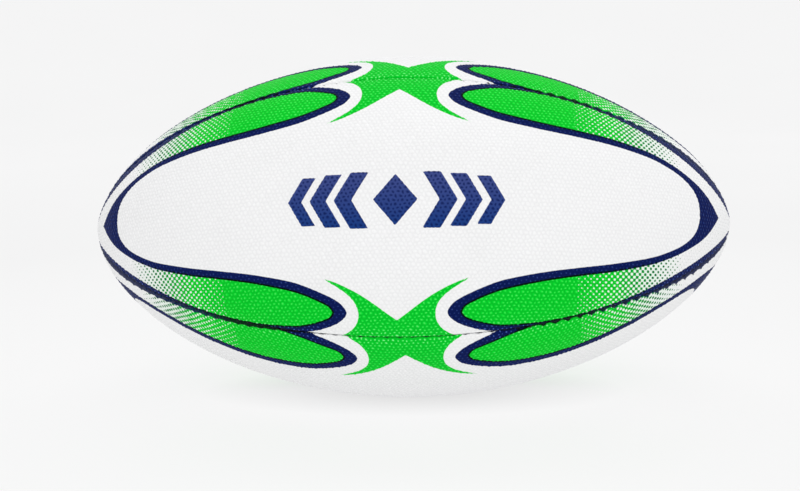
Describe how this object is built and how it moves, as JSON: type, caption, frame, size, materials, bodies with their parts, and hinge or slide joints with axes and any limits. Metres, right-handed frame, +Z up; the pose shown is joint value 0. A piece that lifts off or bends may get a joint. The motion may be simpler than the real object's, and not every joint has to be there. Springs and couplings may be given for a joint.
{
  "type": "rugby ball",
  "caption": "Oval ball of stitched, pimpled rubber cover panels with cloth linings, around an inflatable bladder with a needle valve.",
  "frame": {"origin": "centre of the ball, on its long axis", "axes": "+X along the ball's long axis, +Z up as it lies on its side, -Y to the front; seen from the end, the front panel's middle is rolled 18 degrees up from -Y"},
  "size_m": [0.261, 0.1382, 0.1382],
  "materials": {
    "cover": "satin, printed",
    "lining": "woven, latex-coated",
    "thread": "waxed twist",
    "bladder": "matte",
    "patch": "woven",
    "valve_body": "satin",
    "valve_core": "satin"
  },
  "bodies": {
    "root": {"panel_front": "cover", "panel_top": "cover", "panel_back": "cover", "panel_bottom": "cover", "lining_front": "lining", "lining_top": "lining", "lining_back": "lining", "lining_bottom": "lining", "thread_front_top": "thread", "thread_top_back": "thread", "thread_back_bottom": "thread", "thread_bottom_front": "thread", "bladder": "bladder", "valve_patch": "patch", "valve_body": "valve_body", "valve_core": "valve_core"}
  },
  "joints": []
}
